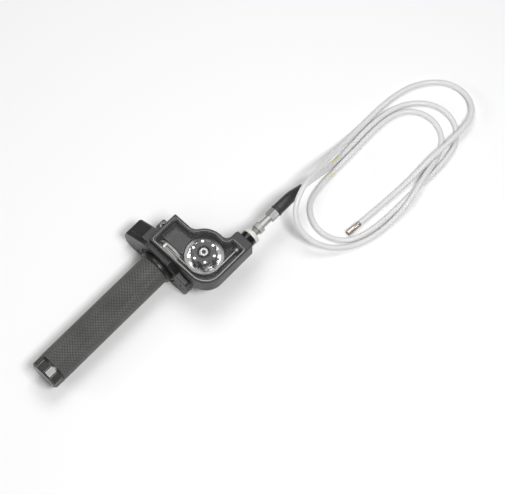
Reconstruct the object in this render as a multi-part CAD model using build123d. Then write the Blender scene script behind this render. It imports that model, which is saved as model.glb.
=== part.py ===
"""Quick-turn motorcycle throttle grip with a cable pulley behind a window.

Frame, in millimetres: the origin is on the handlebar's axis, at the face of the
housing's clamp where the handlebar comes out. +X runs along the bar away from
the grip, +Y points to the rider and +Z up through the window.
"""
from build123d import *
import math
import os

# ---------------------------------------------------------------- fits
rest_gap = 0.05        # radial gap between pieces of one body
turn_gap = 0.08        # radial running gap of a screw in its thread
free_gap = 0.4         # gap between pieces that move past each other

# ---------------------------------------------------------------- handlebar, tube and grip
bar_radius = 11.1      # a 22.2 mm handlebar
clamp_bore_gap = 0.05
tube_bore_gap = 0.25
tube_wall = 1.7
grip_radius = 15.25
grip_length = 129.6
collar_radius = 17.3
collar_width = 4.7
cap_length = 11.0
cap_flutes = 12
cap_flute_radius = 1.1
cap_chamfer = 1.6
cap_turn = 7.0         # first flute's direction from +Y, in degrees
cap_flute_centre = 0.35  # how far the flutes' centres lie outside the cap
cap_land = 1.2         # plain ring between the flutes and the grip
cap_spigot = 7.0
cap_seat_step = 0.7    # counterbore in the tube for the spigot
collar_overlap = 2.4   # how far the collar reaches over the grip's end
collar_round = 0.8
bar_relief = 0.9       # radial gap round the bar past the clamp

# ---------------------------------------------------------------- housing, along the bar
clamp_length = 16.6    # clamp bore, ending at X = 0
chamber_wall = 1.0     # wall between the clamp bore and the drum chamber
chamber_length = 13.0
plate_thickness = 5.4
plate_step = 0.7       # shadow groove between the plate and the housing
clamp_radius = 16.5
lobe_length = 14.6
lobe_round = 3.0
ear_round = 1.5
chamber_gap = 0.8      # radial room round the drum's flange
rebate_radius = 25.0   # seat between the plate and the housing
seal_ring_start = 1.6  # groove in the plate's face, outside the collar
seal_ring_width = 1.6
seal_ring_depth = 1.2
case_round = 0.8
case_corner = 1.2
plate_round = 0.6
plate_corner = 3.0

# ---------------------------------------------------------------- cable drum
wire_radius = 0.75
wire_height = 14.0     # the wire's height above the bar's axis
wire_gap = 0.35
groove_width = 2.4
flange_width = 4.5
drum_flange_radius = 16.2
drum_hub_radius = 14.4
drum_groove_x = -21.9
drum_turn = 20.0       # nipple's place past the drum's top, in degrees
nipple_radius = 2.5

# ---------------------------------------------------------------- pulley
pulley_x = -5.1
pulley_y = -28.2
pulley_pitch = 16.8    # radius of the wire's centre line
pulley_radius = 17.8
pulley_thickness = 4.0
pulley_groove = 2.2
pocket_inner = 12.0
pocket_outer = 15.3
pocket_depth = 1.8
pocket_angle = 44.0
pocket_hole_radius = 0.8
pocket_hole_circle = 12.9
pulley_arms = 6
hub_radius = 11.75
hub_height = 6.8
top_plate_radius = 12.2
top_plate_thickness = 2.6
scallop_radius = 3.4
rivet_radius = 1.15
rivet_circle = 10.1
rivet_depth = 3.8
rivet_proud = 0.35
rivet_turn = -10.0     # first rivet's direction from +X
pocket_turn = 0.0

# ---------------------------------------------------------------- bearing and axle
axle_radius = 3.0
axle_head_radius = 4.15
axle_head_height = 1.8
axle_socket = 4.0
head_well_gap = 0.8    # room round the axle screw's head
inner_ring_wall = 1.4
outer_ring_inside = 6.8
outer_ring_radius = 8.2
bearing_width = 5.0
ball_radius = 1.0
ball_count = 9
clip_thickness = 0.8
clip_inside = 7.1
clip_depth = 0.5

# ---------------------------------------------------------------- window box
box_wall = 3.0
box_top = 28.0
box_floor = 10.8       # top of the floor under the pulley
box_floor_thickness = 2.8
box_side_y = 15.0
box_end_x = 3.0
box_low_y = -56.0
box_low_corner = 18.0
pulley_bump_radius = 21.5
case_hollows = (9.0, 6.0)     # radii beside the bump, towards the bar and the arm
window_hollows = (11.0, 5.0)  # the same in the window's line
arm_side_y = -36.5
arm_end_x = 29.4
arm_bottom = 4.6
arm_cavity_x = 20.0
lens_thickness = 1.4
lens_ledge = 1.2
bar_roof = 17.4        # floor of the window above the clamp
axle_boss_radius = 6.0
axle_boss_depth = 4.0

# ---------------------------------------------------------------- cable adjuster
bush_radius = 8.0
bush_seat = 6.0
bush_length = 12.8
ring_radius = 8.35
ring_length = 4.2
stem_radius = 3.95
stem_proud = 5.0
lock_nut_radius = 5.3
lock_nut_length = 5.2
lock_nut_ribs = 16
barrel_radius = 3.45
barrel_length = 16.4
spigot_radius = 2.4
spigot_length = 9.0
hex_flats = 9.5
hex_length = 8.0
tail_radius = 3.6
tail_length = 5.0
wire_bore = 1.2
guide_radius = 2.6
guide_proud = 2.5

# ---------------------------------------------------------------- screws
plate_screw_places = [(27.0, -12.0), (-27.5, -1.4)]
screw_head_radius = 4.6
screw_head_height = 3.0
screw_radius = 2.4
screw_length = 16.0
screw_socket = 4.0
screw_boss_radius = 6.6
pinch_x = -7.5
pinch_y = 20.0
pinch_radius = 2.4
pinch_head_radius = 3.9
pinch_head_height = 3.2
pinch_nut_flats = 7.6
pinch_nut_height = 3.4
ear_half_height = 6.0
ear_slit = 1.2
ear_reach = 26.0
ear_start = -13.0
ear_end = -2.0
ear_root = 5.0         # how far the ears start inside the clamp

# ---------------------------------------------------------------- cable
cable_radius = 2.6
table_z = -20.0
boot_radius = 5.8
boot_tip_radius = 3.7
boot_mouth = 0.4
ferrule_radius = 3.0
ferrule_length = 15.4
ferrule_mouth_radius = 2.1
ferrule_cup = 5.0

# ---------------------------------------------------------------- values worked out
chamber_back = -clamp_length - chamber_wall
plate_back = chamber_back - chamber_length
plate_front = plate_back - plate_thickness
chamber_radius = drum_flange_radius + chamber_gap
tube_bore = bar_radius + tube_bore_gap
tube_radius = tube_bore + tube_wall
collar_end = plate_front - free_gap
grip_start = collar_end - grip_length - collar_width + collar_overlap
cap_start = grip_start - cap_length
wheel_low = wire_height - pulley_thickness / 2
wheel_high = wire_height + pulley_thickness / 2
hub_top = wheel_high + hub_height
plate_top = hub_top + top_plate_thickness
bearing_low = wheel_low + clip_thickness + 0.2
bearing_high = bearing_low + bearing_width
head_well_radius = axle_head_radius + head_well_gap
wire_y = pulley_y - pulley_pitch
lens_low = box_top - lens_thickness - 0.2
bush_start = arm_end_x - bush_seat
ring_start = bush_start + bush_length
stem_end = ring_start + ring_length + stem_proud
barrel_start = stem_end + 0.2
hex_start = barrel_start + barrel_length
tail_start = hex_start + hex_length
cable_start = tail_start + tail_length + 0.4
cable_rest = table_z + cable_radius + 0.05


# ---------------------------------------------------------------- helpers
def rod_x(x0, x1, radius, y=0.0, z=0.0):
    """A cylinder along X."""
    return Pos((x0 + x1) / 2, y, z) * Rot(0, 90, 0) * Cylinder(radius, x1 - x0)


def rod_z(z0, z1, radius, x=0.0, y=0.0):
    """A cylinder along Z."""
    return Pos(x, y, (z0 + z1) / 2) * Cylinder(radius, z1 - z0)


def block(x0, x1, y0, y1, z0, z1):
    """A box between two corners."""
    return Pos((x0 + x1) / 2, (y0 + y1) / 2, (z0 + z1) / 2) * Box(x1 - x0, y1 - y0, z1 - z0)


def around(count, first=0.0):
    """Evenly spaced directions in degrees."""
    return [first + 360.0 * k / count for k in range(count)]


def polar(radius, degrees):
    """A point on a circle."""
    return radius * math.cos(math.radians(degrees)), radius * math.sin(math.radians(degrees))


def route(points):
    """Straight runs joined by the largest arcs that the runs allow, with the arcs' radii."""
    radii = []
    for before, here, after in zip(points, points[1:], points[2:]):
        first, second = Vector(here) - Vector(before), Vector(after) - Vector(here)
        turn = math.radians(first.get_angle(second))
        radii.append(0.45 * min(first.length, second.length) / math.tan(turn / 2))
    return FilletPolyline(*points, radius=radii), radii


def tube_along(path, radius):
    """A round bar swept along a path."""
    return sweep(Plane(origin=path @ 0, z_dir=path % 0) * Circle(radius), path=path)


def save(shape, node):
    """Write one sub-part."""
    export_step(shape, "parts/" + node + ".step")


# ---------------------------------------------------------------- grip side
def throttle_tube():
    """Tube over the handlebar with the cable drum on its inner end."""
    groove_low = drum_groove_x - groove_width / 2
    tube = rod_x(grip_start, chamber_back - free_gap, tube_radius)
    tube += rod_x(plate_back + free_gap, chamber_back - free_gap, drum_hub_radius)
    tube += rod_x(drum_groove_x - flange_width / 2, drum_groove_x + flange_width / 2, drum_flange_radius)
    groove_bottom = wire_height - wire_radius - wire_gap
    tube -= rod_x(groove_low, groove_low + groove_width, 2 * grip_radius) - rod_x(
        groove_low, groove_low + groove_width, groove_bottom)
    y, z = nipple_place()
    seat = rod_x(drum_groove_x - flange_width, drum_groove_x + flange_width, nipple_radius + rest_gap, y, z)
    seat += Rot(-drum_turn, 0, 0) * block(
        drum_groove_x - flange_width, drum_groove_x + flange_width,
        -nipple_radius - rest_gap, nipple_radius + rest_gap, wire_height, 2 * grip_radius)
    keep = block(drum_groove_x - flange_width / 2, drum_groove_x + flange_width / 2,
                 -2 * grip_radius, 2 * grip_radius, -2 * grip_radius, 2 * grip_radius)
    tube -= seat & keep
    tube -= rod_x(grip_start - 1, grip_start + cap_spigot + rest_gap, tube_bore + cap_seat_step)
    return tube - rod_x(grip_start - 1, 0, tube_bore)


def nipple_place():
    """The nipple's centre on the drum, as Y and Z."""
    z, y = polar(wire_height, drum_turn)
    return y, z


def cable_nipple():
    """Barrel nipple cast on the wire's end."""
    y, z = nipple_place()
    return rod_x(drum_groove_x - flange_width / 2, drum_groove_x + flange_width / 2, nipple_radius, y, z)


def wire_wrap():
    """The short stretch of wire on the drum, from its top to the nipple."""
    reach = drum_turn - math.degrees(math.asin((nipple_radius + rest_gap) / wire_height))
    section = Plane(origin=(drum_groove_x, 0, wire_height), z_dir=(0, 1, 0)) * Circle(wire_radius)
    return revolve(section, Axis((0, 0, 0), (-1, 0, 0)), reach)


def grip_sleeve():
    """Grip over the tube with a collar at the housing."""
    sleeve = rod_x(grip_start, collar_end, grip_radius)
    sleeve += fillet(rod_x(collar_end - collar_width, collar_end, collar_radius).edges(), collar_round)
    return sleeve - rod_x(grip_start - 1, collar_end + 1, tube_radius + rest_gap)


def grip_end_cap():
    """Cap with flats and a flute at each corner, and a spigot in the tube's open end."""
    cap = Pos(cap_start, 0, 0) * Rot(0, 90, 0) * extrude(
        Rot(0, 0, cap_turn) * RegularPolygon(grip_radius, cap_flutes), cap_length - cap_land)
    cap = chamfer(cap.faces().sort_by(Axis.X)[0].edges(), cap_chamfer)
    for turn in around(cap_flutes, cap_turn):
        y, z = polar(grip_radius + cap_flute_centre, turn)
        cap -= rod_x(cap_start - 1, grip_start - cap_land, cap_flute_radius, y, z)
    cap += rod_x(grip_start - cap_land, grip_start, grip_radius)
    return cap + rod_x(grip_start, grip_start + cap_spigot, tube_bore + cap_seat_step - rest_gap)


# ---------------------------------------------------------------- housing
def plate_outline():
    """Outline of the plate and of the housing's lobe, looking along the bar."""
    points = [(11, 23.6), (16, 23), (29, 15), (41, 7.5), (44, -3), (42.5, -15), (33, -19.2),
              (20, table_z), (-20, table_z), (-33, -17.5), (-36, -4), (-34.5, 7.6), (-22, 12.5), (-12, 21.5)]
    face = Polygon(*reversed(points), align=None)
    return fillet(face.vertices(), plate_corner)


def plate_solid(x0, x1):
    """The outline as a slab across the bar."""
    return Plane(origin=(x0, 0, 0), x_dir=(0, 1, 0), z_dir=(1, 0, 0)) * extrude(plate_outline(), x1 - x0)


def front_plate():
    """Cover over the drum chamber, with the screws' counterbores."""
    plate = plate_solid(plate_front, plate_back - plate_step)
    plate = chamfer(plate.faces().sort_by(Axis.X)[0].edges(), plate_round)
    rebate = plate_solid(plate_back - plate_step, plate_back)
    plate += rebate & rod_x(plate_back - plate_step, plate_back, rebate_radius)
    for y, z in plate_screw_places:
        plate += rod_x(plate_back - plate_step, plate_back, screw_boss_radius - 1, y, z)
        plate -= rod_x(plate_front - 1, plate_front + screw_head_height + 0.4, screw_head_radius + 0.4, y, z)
        plate -= rod_x(plate_front - 1, plate_back + 1, screw_radius + 0.2, y, z)
    seal = collar_radius + seal_ring_start
    plate -= rod_x(plate_front - 1, plate_front + seal_ring_depth, seal + seal_ring_width) - rod_x(
        plate_front - 2, plate_front + 2, seal)
    return plate - rod_x(plate_front - 1, plate_back + 1, tube_radius + free_gap)


def plate_screws():
    """Socket screws that hold the plate to the housing."""
    group = []
    for y, z in plate_screw_places:
        head = plate_front + screw_head_height
        screw = rod_x(plate_front, head, screw_head_radius, y, z)
        screw = chamfer(screw.edges().sort_by(Axis.X)[:1], 0.4)
        screw += rod_x(head, head + screw_length, screw_radius, y, z)
        screw -= Pos(plate_front, y, z) * Rot(0, 90, 0) * extrude(
            RegularPolygon(screw_socket / 2, 6, major_radius=False), 2.2)
        group.append(screw)
    return Compound(children=group)


def box_outline(inset):
    """Window box seen from above, inset from its outer wall."""
    main = Pos((plate_back + box_end_x) / 2, (box_low_y + box_side_y) / 2) * Rectangle(
        box_end_x - plate_back - 2 * inset, box_side_y - box_low_y - 2 * inset)
    corners = main.vertices().sort_by(Axis.Y)
    low = corners[:2].sort_by(Axis.X)[0]
    main = fillet([low], box_low_corner - inset)
    top = main.vertices().sort_by(Axis.Y)[-2:]
    main = fillet(top, case_corner + inset * 0.8)
    return main + Pos(pulley_x, pulley_y) * Circle(pulley_bump_radius - inset)


def arm_outline(inset, end_x):
    """The box's arm towards the cable adjuster."""
    arm = Pos((pulley_x + end_x) / 2, (box_low_y + arm_side_y) / 2) * Rectangle(
        end_x - pulley_x, arm_side_y - box_low_y - 2 * inset)
    return fillet(arm.vertices().sort_by(Axis.X)[-2:], 2.0)


def case_outline(inset, end_x, hollows):
    """Box and arm as one outline, with smooth hollow corners beside the pulley's bump."""
    shape = box_outline(inset) + arm_outline(inset, end_x)
    bump, side, edge = pulley_bump_radius - inset, box_end_x - inset, arm_side_y - inset
    meets = [(side, pulley_y + math.sqrt(bump ** 2 - (side - pulley_x) ** 2)),
             (pulley_x + math.sqrt(bump ** 2 - (edge - pulley_y) ** 2), edge)]
    for (x, y), radius in zip(meets, hollows):
        corner = min(shape.vertices(), key=lambda v: math.hypot(v.X - x, v.Y - y))
        shape = fillet([corner], radius)
    return shape


def window_cut(z0, z1, inset):
    """The window's opening between two heights."""
    shape = case_outline(inset, arm_cavity_x + box_wall - inset, window_hollows)
    return Pos(0, 0, z0) * extrude(shape, z1 - z0)


def housing_body():
    """Casting with the window box, drum chamber, clamp, lobe and adjuster arm."""
    box_low = box_floor - box_floor_thickness
    body = Pos(0, 0, box_low) * extrude(case_outline(0, arm_end_x, case_hollows), box_top - box_low)
    body = fillet(body.faces().sort_by(Axis.Z)[-1].edges(), case_round)
    body += block(arm_end_x - 12, arm_end_x, box_low_y + 1.5, arm_side_y - 1.5, arm_bottom, box_low + 1)
    body += rod_z(box_low - axle_boss_depth, box_low + 1, axle_boss_radius, pulley_x, pulley_y)

    # The drum chamber's shell, the lobe beside it and the screw boss under the box.
    shell = plate_solid(plate_back, plate_back + lobe_length)
    shell = fillet(shell.faces().sort_by(Axis.X)[-1].edges(), lobe_round)
    body += shell & block(plate_back, plate_back + lobe_length, -40, 50, table_z, box_low + 10)
    body += rod_x(chamber_back - 1, 0, clamp_radius)

    # The clamp's ears.
    ears = block(ear_start, ear_end, clamp_radius - ear_root, ear_reach, -ear_half_height, ear_half_height)
    body += fillet(ears.faces().sort_by(Axis.Y)[-1].edges().filter_by(Axis.Z), ear_round)

    # The window, down to the floor beside the bar and to the roof above it.
    floor_side = -bar_radius - 2.5
    low_cut = window_cut(box_floor, box_top + 1, box_wall)
    body -= low_cut & block(-60, 60, -80, floor_side, 0, 40)
    body -= low_cut & rod_z(0, 40, pulley_radius + 0.8, pulley_x, pulley_y)
    body -= low_cut & block(-60, 60, floor_side, 40, bar_roof, 40)
    body -= low_cut & block(plate_back, chamber_back, floor_side, 40, box_floor + 1, 40)
    body -= window_cut(lens_low, box_top + 1, box_wall - lens_ledge)

    # The chamber, the clamp's bore and its slit.
    body -= rod_x(plate_back - 1, chamber_back, chamber_radius)
    body -= rod_x(chamber_back - 1, 0, bar_radius + clamp_bore_gap)
    body -= rod_x(0, arm_end_x, bar_radius + bar_relief)
    body -= block(chamber_back + 1.6, 1, 0, ear_reach + 1, -ear_slit / 2, ear_slit / 2)

    # The screws' holes, the axle's thread, the guide's and the bush's seats.
    for y, z in plate_screw_places:
        body -= rod_x(plate_back - 1, plate_front + screw_head_height + screw_length + 1,
                      screw_radius + rest_gap, y, z)
    body -= rod_z(-60, 60, pinch_radius + 0.2, pinch_x, pinch_y) & block(
        -60, 60, 0, 60, -ear_half_height - 1, ear_half_height + 1)
    body -= rod_z(box_low - axle_boss_depth - 1, box_floor + 1, axle_radius + rest_gap, pulley_x, pulley_y)
    body -= rod_x(arm_cavity_x - 1, arm_end_x, guide_radius + rest_gap, wire_y, wire_height)
    body -= rod_x(bush_start, arm_end_x + 1, bush_radius + rest_gap, wire_y, wire_height)
    return body


def window_lens():
    """Clear cover that lies in the window's ledge."""
    lens = window_cut(lens_low, lens_low + lens_thickness, box_wall - lens_ledge + 0.15)
    return chamfer(lens.faces().sort_by(Axis.Z)[-1].edges(), 0.3)


def pinch_screw():
    """Screw that draws the clamp's ears together."""
    top = ear_half_height + pinch_head_height
    screw = rod_z(ear_half_height, top, pinch_head_radius, pinch_x, pinch_y)
    screw += rod_z(-ear_half_height - pinch_nut_height - 1.5, ear_half_height, pinch_radius, pinch_x, pinch_y)
    socket = Pos(pinch_x, pinch_y, top - 2) * extrude(
        RegularPolygon(screw_socket / 2, 6, major_radius=False), 3)
    return screw - socket


def pinch_nut():
    """Nut under the clamp's ears."""
    nut = Pos(pinch_x, pinch_y, -ear_half_height - pinch_nut_height) * extrude(
        RegularPolygon(pinch_nut_flats / 2, 6, major_radius=False), pinch_nut_height)
    return nut - rod_z(-60, 60, pinch_radius + rest_gap, pinch_x, pinch_y)


# ---------------------------------------------------------------- pulley
def scalloped(radius, z0, z1):
    """A disc on the pulley's axis with a scallop between each pair of rivets."""
    disc = rod_z(z0, z1, radius, pulley_x, pulley_y)
    for turn in around(pulley_arms, rivet_turn + 180.0 / pulley_arms):
        x, y = polar(radius + scallop_radius * 0.45, turn)
        disc -= rod_z(z0 - 1, z1 + 1, scallop_radius, pulley_x + x, pulley_y + y)
    return disc


def rivet_rods(z0, z1, radius):
    """Rods at the rivets' places."""
    rods = []
    for turn in around(pulley_arms, rivet_turn):
        x, y = polar(rivet_circle, turn)
        rods.append(rod_z(z0, z1, radius, pulley_x + x, pulley_y + y))
    return rods


def pulley_wheel():
    """Grooved wheel with six pockets."""
    groove_bottom = pulley_pitch - wire_radius - wire_gap
    wheel = rod_z(wheel_low, wheel_high, pulley_radius, pulley_x, pulley_y)
    half = pulley_groove / 2
    wheel -= rod_z(wire_height - half, wire_height + half, pulley_radius + 5, pulley_x, pulley_y) - rod_z(
        wire_height - half - 1, wire_height + half + 1, groove_bottom, pulley_x, pulley_y)
    for turn in around(pulley_arms, pocket_turn):
        wedge = Pos(pulley_x, pulley_y, wheel_high - pocket_depth) * Rot(0, 0, turn) * extrude(
            Polygon((0, 0), polar(30, -pocket_angle / 2), polar(30, pocket_angle / 2), align=None), 5)
        band = rod_z(0, 40, pocket_outer, pulley_x, pulley_y) - rod_z(
            -1, 41, pocket_inner, pulley_x, pulley_y)
        wheel -= wedge & band
        x, y = polar(pocket_hole_circle, turn)
        wheel -= rod_z(0, 40, pocket_hole_radius, pulley_x + x, pulley_y + y)
    wheel -= rod_z(0, bearing_high, outer_ring_radius + rest_gap, pulley_x, pulley_y)
    return wheel - rod_z(
        bearing_low - clip_thickness, bearing_low, outer_ring_radius + clip_depth, pulley_x, pulley_y)


def pulley_hub():
    """Scalloped block between the wheel and the top plate."""
    hub = scalloped(hub_radius, wheel_high, hub_top)
    hub -= rod_z(0, bearing_high, outer_ring_radius + rest_gap, pulley_x, pulley_y)
    hub -= rod_z(0, 60, head_well_radius, pulley_x, pulley_y)
    for rod in rivet_rods(hub_top - rivet_depth - rest_gap, hub_top + 1, rivet_radius + rest_gap):
        hub -= rod
    return hub


def pulley_top_plate():
    """Dark plate on the hub."""
    plate = scalloped(top_plate_radius, hub_top, plate_top)
    plate = chamfer(plate.faces().sort_by(Axis.Z)[-1].edges(), 0.4)
    plate -= rod_z(0, 60, head_well_radius, pulley_x, pulley_y)
    for rod in rivet_rods(hub_top - 1, plate_top + 1, rivet_radius + rest_gap):
        plate -= rod
    return plate


def bearing_balls():
    """Ring of bearing balls."""
    circle = (axle_radius + inner_ring_wall + outer_ring_inside) / 2
    balls = []
    for turn in around(ball_count):
        x, y = polar(circle, turn)
        balls.append(Pos(pulley_x + x, pulley_y + y, (bearing_low + bearing_high) / 2) * Sphere(ball_radius))
    return Compound(children=balls)


def ring_z(z0, z1, outside, inside):
    """A flat ring on the pulley's axis."""
    return rod_z(z0, z1, outside, pulley_x, pulley_y) - rod_z(z0 - 1, z1 + 1, inside, pulley_x, pulley_y)


def retaining_clip():
    """Open spring clip under the bearing."""
    clip = ring_z(bearing_low - clip_thickness, bearing_low, outer_ring_radius + clip_depth - rest_gap, clip_inside)
    gap = block(pulley_x, pulley_x + 20, pulley_y - 1.5, pulley_y + 1.5, 0, 60)
    return clip - gap


def axle_screw():
    """Shoulder screw that carries the bearing."""
    head = plate_top - axle_head_height
    screw = rod_z(head, plate_top, axle_head_radius, pulley_x, pulley_y)
    screw = chamfer(screw.edges().sort_by(Axis.Z)[-1:], 0.4)
    low = box_floor - box_floor_thickness - axle_boss_depth
    screw += rod_z(low, head, axle_radius, pulley_x, pulley_y)
    socket = Pos(pulley_x, pulley_y, plate_top - 1.2) * extrude(
        RegularPolygon(axle_socket / 2, 6, major_radius=False), 3)
    return screw - socket


# ---------------------------------------------------------------- adjuster
def tube_x(x0, x1, outside, inside):
    """A tube along X on the wire's line."""
    return rod_x(x0, x1, outside, wire_y, wire_height) - rod_x(x0 - 1, x1 + 1, inside, wire_y, wire_height)


def hexagon_x(x0, x1, flats):
    """A hexagonal bar along X on the wire's line."""
    bar = Pos(x0, wire_y, wire_height) * Rot(0, 90, 0) * extrude(
        RegularPolygon(flats / 2, 6, major_radius=False), x1 - x0)
    return bar


def adjuster_stem():
    """Stem fixed in the bush."""
    stem = tube_x(bush_start, stem_end, stem_radius, wire_bore)
    return stem - rod_x(stem_end - spigot_length - 1, stem_end + 1, spigot_radius + turn_gap, wire_y, wire_height)


def lock_nut():
    """Ribbed round nut against the stem."""
    nut = tube_x(barrel_start, barrel_start + lock_nut_length, lock_nut_radius, barrel_radius + turn_gap)
    for turn in around(lock_nut_ribs):
        y, z = polar(lock_nut_radius + 0.25, turn)
        nut -= rod_x(barrel_start + 0.6, barrel_start + lock_nut_length - 0.6, 0.6, wire_y + y, wire_height + z)
    return nut


def adjuster_barrel():
    """Adjusting screw with a hexagon and a tail inside the boot."""
    barrel = rod_x(barrel_start, hex_start, barrel_radius, wire_y, wire_height)
    barrel += rod_x(stem_end - spigot_length, barrel_start, spigot_radius, wire_y, wire_height)
    barrel += hexagon_x(hex_start, tail_start, hex_flats)
    barrel += rod_x(tail_start, tail_start + tail_length, tail_radius, wire_y, wire_height)
    return barrel - rod_x(0, cable_start + 1, wire_bore, wire_y, wire_height)


# ---------------------------------------------------------------- cable
def boot_points():
    """The boot's axis, which droops at its tip."""
    return [(cable_start, wire_y, wire_height), (89.0, wire_y, wire_height), (107.0, -44.6, 7.6)]


def cable_points():
    """The cable's route from the adjuster to its end, round three loops."""
    floor = cable_rest
    end_height = table_z + ferrule_radius
    return boot_points() + [
        (129, -43.5, -7), (151, -43, floor), (180, -42.8, floor), (208, -42, floor),
        (232, -45, floor), (251, -54.5, floor), (263.5, -70, floor), (266.5, -88, floor),
        (259.5, -104.5, floor), (243, -115.5, floor), (216, -118.2, floor), (187, -116.6, floor),
        (160, -116.4, floor), (137, -115.2, floor), (118, -111.6, floor), (102.5, -104, floor),
        (94, -89, floor), (94, -72, floor), (103, -57.2, floor), (118, -50, floor),
        (145, -48.8, floor), (178, -48.6, floor), (206, -47.6, floor), (227, -49.8, floor),
        (242, -57, floor), (250.5, -71, floor), (250.5, -87.5, floor), (242, -101.5, floor),
        (224, -110.6, floor), (201, -114.4, -11.2), (177, -120.4, -11), (152, -122.3, floor),
        (126, -120.2, floor), (105, -113, floor), (87.5, -101, -13), (76.8, -84.4, -4.6),
        (75, -67.7, 6.5), (84, -55.7, 17.1), (100.5, -49.4, 22), (121, -45.2, 15),
        (146, -41, 1.5), (173, -38.2, -11), (200, -36.6, floor), (229, -36.4, floor),
        (258, -40.5, floor), (278, -51, floor), (290.9, -66, floor), (293.7, -83.9, -16.2),
        (287.2, -99.2, -13.7), (273.4, -108.5, -11.3), (250, -109.4, -10.8), (220, -107.4, -11.2),
        (188, -106.6, -16), (156, -104.4, end_height), (124.5, -101.25, end_height)]


def cable_boot():
    """Rubber boot over the adjuster's tail and the cable."""
    mouth, bend, tip = [Vector(p) for p in boot_points()]
    mouth_x = tail_start + boot_mouth
    boot = rod_x(mouth_x, bend.X, boot_radius, wire_y, wire_height)
    boot += Pos(bend) * Sphere(boot_radius)
    down = tip - bend
    nose = Cone(boot_radius, boot_tip_radius, down.length, align=(Align.CENTER, Align.CENTER, Align.MIN))
    boot += Plane(origin=bend, z_dir=down) * nose
    path, _ = route(cable_points()[:5])
    boot -= tube_along(path, cable_radius + free_gap)
    return boot - rod_x(mouth_x - 1, cable_start, tail_radius + free_gap, wire_y, wire_height)


def cable_end_ferrule():
    """Crimped ferrule on the cable's far end."""
    start, end = [Vector(p) for p in cable_points()[-2:]]
    frame = Plane(origin=end, z_dir=end - start)
    ferrule = frame * Cylinder(ferrule_radius, ferrule_length, align=(Align.CENTER, Align.CENTER, Align.MIN))
    ferrule -= frame * Pos(0, 0, ferrule_length - ferrule_cup) * Cylinder(
        ferrule_mouth_radius, ferrule_cup + 1, align=(Align.CENTER, Align.CENTER, Align.MIN))
    return ferrule


def throttle_wire():
    """Inner wire from the cable, round the pulley, to the drum's top."""
    corner_x = pulley_x - pulley_pitch
    path = FilletPolyline((cable_start, wire_y, wire_height), (corner_x, wire_y, wire_height),
                          (corner_x, 0, wire_height), radius=pulley_pitch)
    return tube_along(path, wire_radius)


# ---------------------------------------------------------------- build
os.makedirs("parts", exist_ok=True)

save(throttle_tube(), "throttle_tube")
save(cable_nipple(), "cable_nipple")
save(wire_wrap(), "wire_wrap")
save(grip_sleeve(), "grip_sleeve")
save(grip_end_cap(), "grip_end_cap")

save(housing_body(), "housing_body")
save(front_plate(), "front_plate")
save(plate_screws(), "plate_screws")
save(window_lens(), "window_lens")
save(pinch_screw(), "pinch_screw")
save(pinch_nut(), "pinch_nut")

save(pulley_wheel(), "pulley_wheel")
save(pulley_hub(), "pulley_hub")
save(pulley_top_plate(), "pulley_top_plate")
save(Compound(children=rivet_rods(hub_top - rivet_depth, plate_top + rivet_proud, rivet_radius)), "pulley_rivets")
save(ring_z(bearing_low, bearing_high, outer_ring_radius, outer_ring_inside), "bearing_outer_ring")
save(ring_z(bearing_low, bearing_high, axle_radius + inner_ring_wall, axle_radius + rest_gap),
     "bearing_inner_ring")
save(bearing_balls(), "bearing_balls")
save(retaining_clip(), "retaining_clip")
save(ring_z(box_floor, bearing_low, axle_radius + inner_ring_wall, axle_radius + rest_gap), "lower_spacer")
save(ring_z(bearing_high, plate_top - axle_head_height, axle_radius + 1.0, axle_radius + rest_gap),
     "upper_spacer")
save(axle_screw(), "axle_screw")

save(tube_x(arm_cavity_x - guide_proud, bush_start, guide_radius, wire_bore), "wire_guide")
save(tube_x(bush_start, ring_start, bush_radius, stem_radius + rest_gap), "arm_bush")
save(tube_x(ring_start, ring_start + ring_length, ring_radius, stem_radius + rest_gap), "bush_ring")
save(adjuster_stem(), "adjuster_stem")
save(lock_nut(), "lock_nut")
save(adjuster_barrel(), "adjuster_barrel")
save(cable_boot(), "cable_boot")

cable_path, cable_radii = route(cable_points())
cable = tube_along(cable_path, cable_radius)
save(cable, "cable_casing")
save(cable_end_ferrule(), "cable_end_ferrule")
save(throttle_wire(), "throttle_wire")

print("cable length", round(cable_path.length, 1))
print("cable arc radii", [round(r, 1) for r in cable_radii])
print("cable volume over section times length",
      round(cable.volume / (math.pi * cable_radius ** 2 * cable_path.length), 5))
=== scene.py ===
import math

import bmesh
import bpy
from mathutils import Matrix, Vector


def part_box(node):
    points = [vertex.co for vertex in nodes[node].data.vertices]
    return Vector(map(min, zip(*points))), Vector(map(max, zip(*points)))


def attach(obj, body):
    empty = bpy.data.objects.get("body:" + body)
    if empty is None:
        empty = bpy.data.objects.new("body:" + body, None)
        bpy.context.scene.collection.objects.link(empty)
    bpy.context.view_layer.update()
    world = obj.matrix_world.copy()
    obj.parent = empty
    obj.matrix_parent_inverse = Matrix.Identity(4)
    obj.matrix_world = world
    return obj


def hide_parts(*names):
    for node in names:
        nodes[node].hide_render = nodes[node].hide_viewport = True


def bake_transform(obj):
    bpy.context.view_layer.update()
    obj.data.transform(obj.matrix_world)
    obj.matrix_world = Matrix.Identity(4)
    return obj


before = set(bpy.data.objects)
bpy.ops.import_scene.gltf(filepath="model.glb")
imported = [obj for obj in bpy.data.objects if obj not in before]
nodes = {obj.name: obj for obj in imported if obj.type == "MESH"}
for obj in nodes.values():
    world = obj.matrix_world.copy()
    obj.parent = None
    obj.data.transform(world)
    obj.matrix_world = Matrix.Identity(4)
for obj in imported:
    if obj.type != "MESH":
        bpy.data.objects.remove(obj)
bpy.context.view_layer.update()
mm = 0.001


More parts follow.
